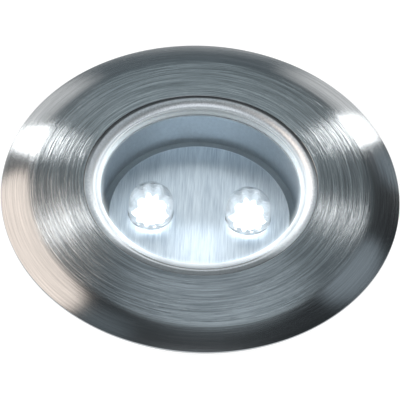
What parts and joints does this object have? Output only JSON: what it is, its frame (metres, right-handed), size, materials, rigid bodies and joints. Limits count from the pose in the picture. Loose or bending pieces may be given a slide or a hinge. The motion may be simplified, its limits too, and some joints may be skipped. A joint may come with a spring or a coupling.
{
  "type": "recessed deck light",
  "caption": "Round recessed garden deck light: brushed steel bezel over a sealed well with clear LED domes, slim body below with spring clips and cable gland.",
  "frame": {"origin": "on the light's axis, at the underside of the bezel flange, which is the deck surface", "axes": "+Z out of the deck along the light's axis, +X from the left LED to the right LED, -Y toward the viewer"},
  "size_m": [0.045, 0.045, 0.024],
  "materials": {
    "brushed_steel": "circular brushed, bluish grey",
    "satin_steel": "satin, finely blasted",
    "spring_steel": "cold rolled",
    "plated_steel": "zinc plated",
    "reflector_sheet": "straight brushed",
    "clear_plastic": "clear, polished",
    "clear_epoxy": "water clear, polished",
    "tinned_wire": "tinned",
    "dark_rubber": "matt",
    "black_nylon": "fine moulded texture",
    "board_mask": "pale solder mask over glass laminate",
    "clear_silicone": "translucent, matt",
    "resistor_blue": "painted",
    "moulding": "moulded epoxy",
    "capacitor_sleeve": "shrink sleeve over a can"
  },
  "bodies": {
    "light": {"bezel_ring": "brushed_steel", "deck_gasket": "dark_rubber", "rim_seal": "dark_rubber", "lens_collar": "satin_steel", "collar_seal": "dark_rubber", "lens": "clear_plastic", "lens_gasket": "clear_silicone", "reflector_plate": "reflector_sheet", "plate_gasket": "dark_rubber", "led_left": "clear_epoxy", "led_left_cathode": "tinned_wire", "led_left_anode": "tinned_wire", "led_right": "clear_epoxy", "led_right_cathode": "tinned_wire", "led_right_anode": "tinned_wire", "led_carrier": "black_nylon", "circuit_board": "board_mask", "series_resistor": "resistor_blue", "bridge_rectifier": "moulding", "smoothing_capacitor": "capacitor_sleeve", "housing": "black_nylon", "base_gasket": "dark_rubber", "base_cover": "black_nylon", "base_screw_front": "plated_steel", "base_screw_back": "plated_steel", "gland_body": "black_nylon", "gland_seal": "dark_rubber", "gland_nut": "black_nylon", "gland_lock_nut": "black_nylon", "clip_rivet_left": "plated_steel", "clip_rivet_right": "plated_steel"},
    "left_leaf": {"clip_left": "spring_steel"},
    "right_leaf": {"clip_right": "spring_steel"}
  },
  "joints": [
    {"name": "left_leaf_bend", "type": "hinge", "parent": "light", "child": "left_leaf", "pos_m": [-0.0114, 0, -0.01199], "axis": [0, 1, 0], "range_deg": [0, 11], "stiffness_Nm_per_rad": 0.02},
    {"name": "right_leaf_bend", "type": "hinge", "parent": "light", "child": "right_leaf", "pos_m": [0.0114, 0, -0.01199], "axis": [0, -1, 0], "range_deg": [0, 11], "stiffness_Nm_per_rad": 0.02}
  ]
}
